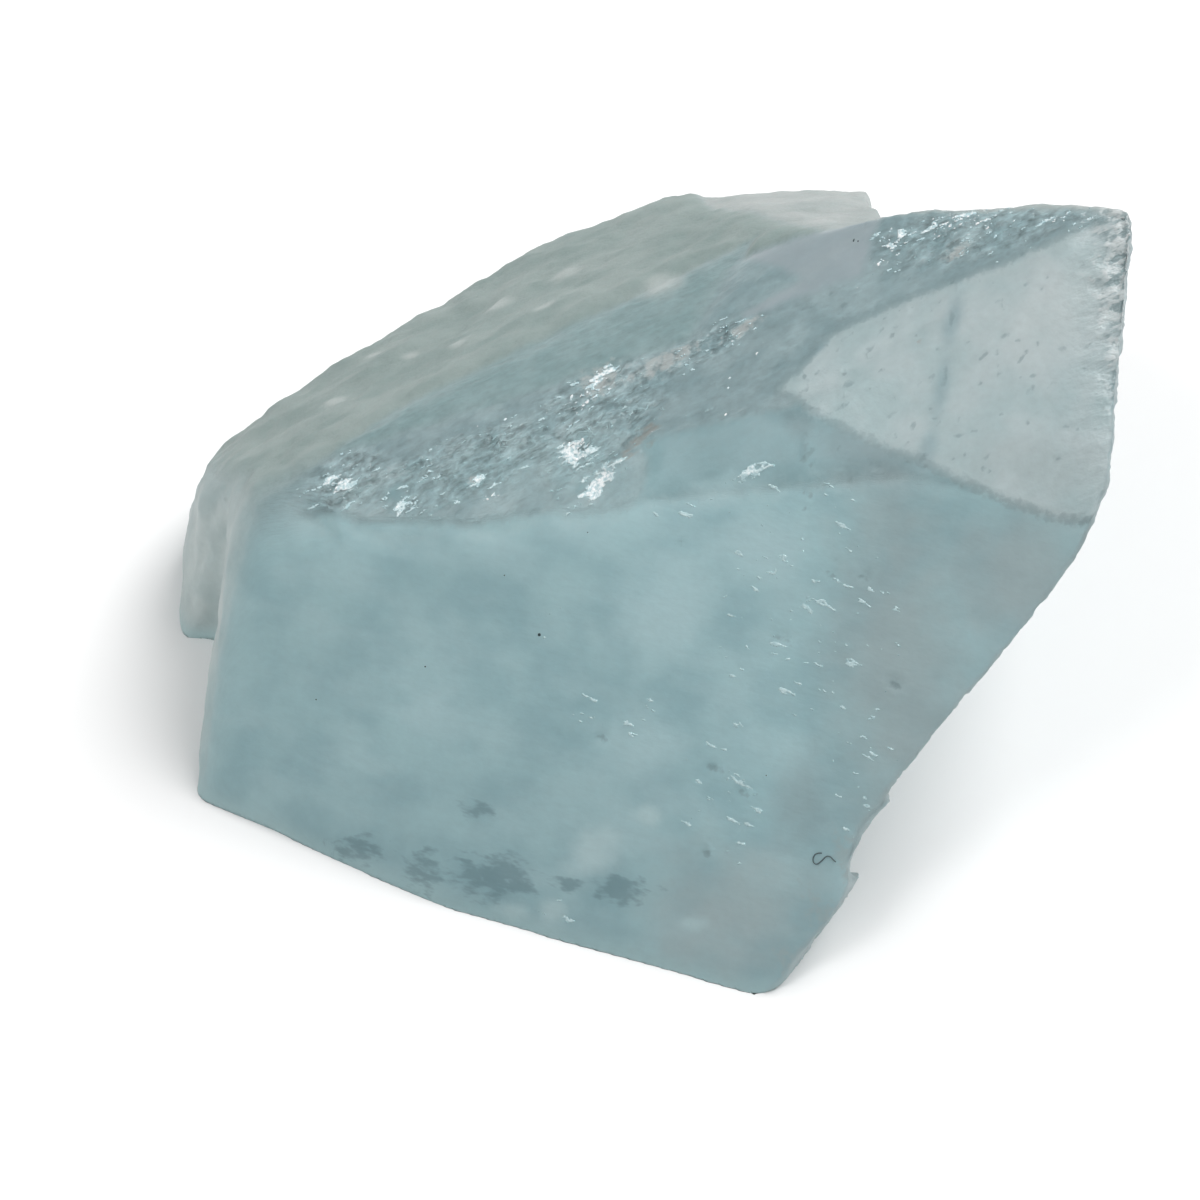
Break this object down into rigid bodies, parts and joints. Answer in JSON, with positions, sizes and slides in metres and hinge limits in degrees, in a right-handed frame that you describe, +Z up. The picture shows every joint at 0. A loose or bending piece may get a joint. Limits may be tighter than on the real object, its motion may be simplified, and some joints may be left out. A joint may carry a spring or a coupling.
{
  "type": "aquamarine crystal",
  "caption": "Rough, see-through aquamarine fragment: a wedge with a large satin face, a pale triangular facet, a stepped break and a frosted back.",
  "frame": {"origin": "middle of the plan box on the flat break the stone lies on", "axes": "+X along the longest extent, towards the high end; +Y from the large satin face to the frosted back; +Z up from the flat break"},
  "size_m": [0.0368, 0.0358, 0.0217],
  "materials": {
    "aquamarine": "see-through pale blue-green beryl, satin on the old faces, bright on the broken steps, frosted and greenish at the back"
  },
  "bodies": {
    "root": {"aquamarine_crystal": "aquamarine"}
  },
  "joints": []
}
